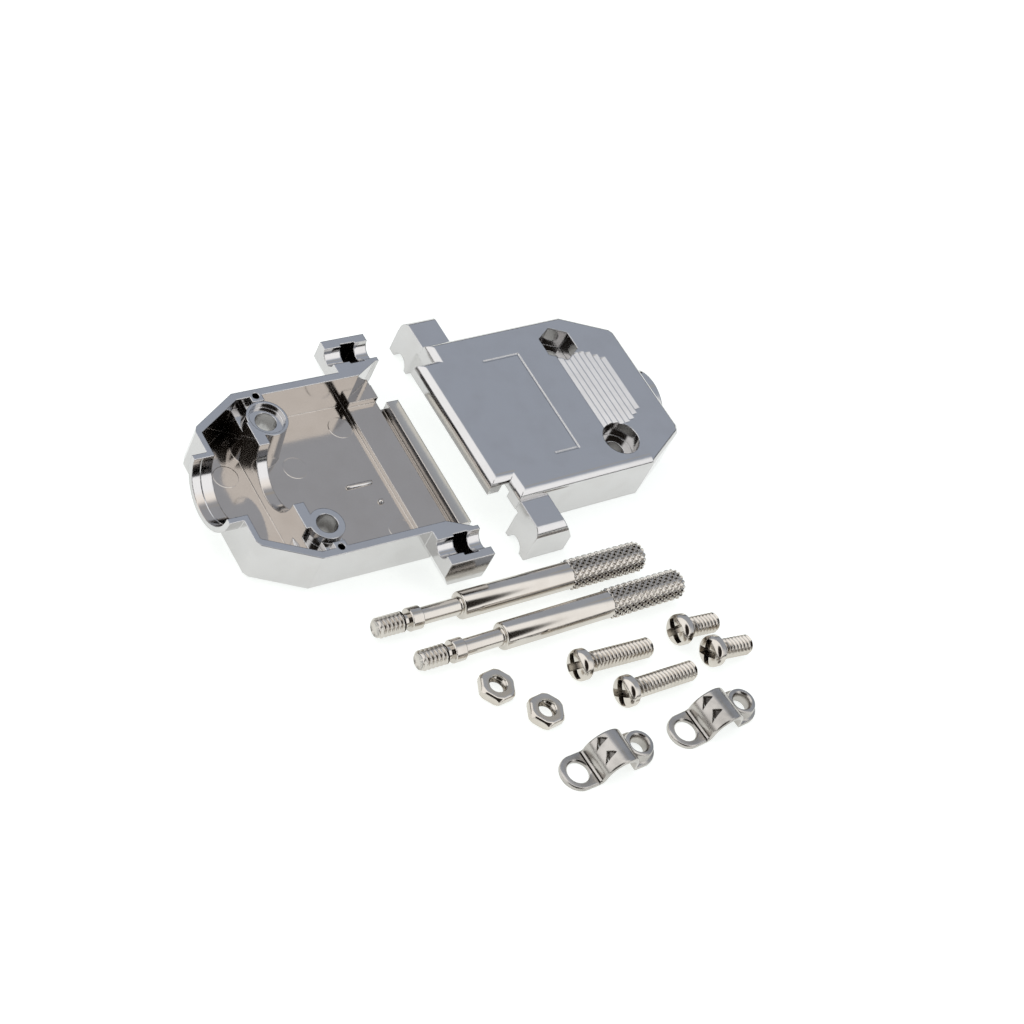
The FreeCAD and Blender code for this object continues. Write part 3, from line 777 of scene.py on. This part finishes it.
def studio_sky():
    """Soft tent: white at the sides and overhead, grey beyond the object, dark at the camera."""
    world = bpy.data.worlds.new("studio")
    bpy.context.scene.world = world
    world.use_nodes = True
    tree = world.node_tree
    where = node(tree, "ShaderNodeTexCoord").outputs["Generated"]
    colour = SKY_WHITE
    for patch, spread in SKY_PATCHES:
        colour = mixed(tree, soft_patch(tree, where, *spread), colour, patch)
    tree.links.new(colour, tree.nodes["Background"].inputs["Color"])


def camera():
    """The photo's camera."""
    data = bpy.data.cameras.new("camera")
    data.sensor_width = SENSOR
    data.sensor_fit = "HORIZONTAL"
    data.lens = LENS
    data.clip_start = NEAREST_METRES
    data.clip_end = FARTHEST_METRES
    holder = bpy.data.objects.new("camera", data)
    bpy.context.scene.collection.objects.link(holder)
    right = CAMERA_RIGHT.normalized()
    back = right.cross(CAMERA_UP).normalized()
    up = back.cross(right)
    turn = Matrix((right, up, back)).transposed().to_4x4()
    holder.matrix_world = Matrix.Translation(ORIGIN + CAMERA_PLACE * MM) @ turn
    bpy.context.scene.camera = holder


def stand_for(pieces, name, material):
    """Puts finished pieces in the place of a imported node."""
    for piece in pieces:
        give(piece, material)
        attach(piece, "root")
        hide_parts(name)


def main():
    shell_plate = plated_metal(
        "bright_nickel_on_casting", (0.606, 0.597, 0.593), (0.55, 0.535, 0.525),
        roughness=0.06, ripple=0.10, grain=0.10, corner=0.22, inside=1.0)
    screw_plate = plated_metal(
        "nickel_on_rolled_steel", (0.625, 0.585, 0.53), (0.49, 0.44, 0.385),
        roughness=0.10, ripple=0.05, grain=0.15, corner=0.06)
    thumb_plate = plated_metal(
        "nickel_on_turned_steel", (0.605, 0.57, 0.525), (0.51, 0.47, 0.42),
        roughness=0.08, ripple=0.04, grain=0.12, corner=0.05)
    clamp_plate = plated_metal(
        "satin_nickel_on_strip", (0.51, 0.485, 0.455), (0.13, 0.125, 0.115),
        roughness=0.18, ripple=0.25, grain=0.15, corner=0.12)
    for name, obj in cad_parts.items():
        if name.startswith("shell"):
            give(obj, shell_plate)
    for name, place in THUMBSCREWS.items():
        stand_for([thumbscrew(name, *place)], name, thumb_plate)
    for name, place in PAN_SCREWS.items():
        stand_for(pan_screw(name, *place), name, screw_plate)
    for name, place in NUTS.items():
        stand_for([hexagon_nut(name, *place)], name, screw_plate)
    for name, place in CLAMPS.items():
        stand_for([cable_clamp(name, *place)], name, clamp_plate)
    for name, side_up in (("shell_inside_up", True), ("shell_outside_up", False)):
        marks = casting_marks(name, side_up)
        give(marks, shell_plate)
        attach(marks, "root")
    white_floor()
    studio_sky()
    camera()
    bpy.context.scene.view_settings.view_transform = "Standard"


main()
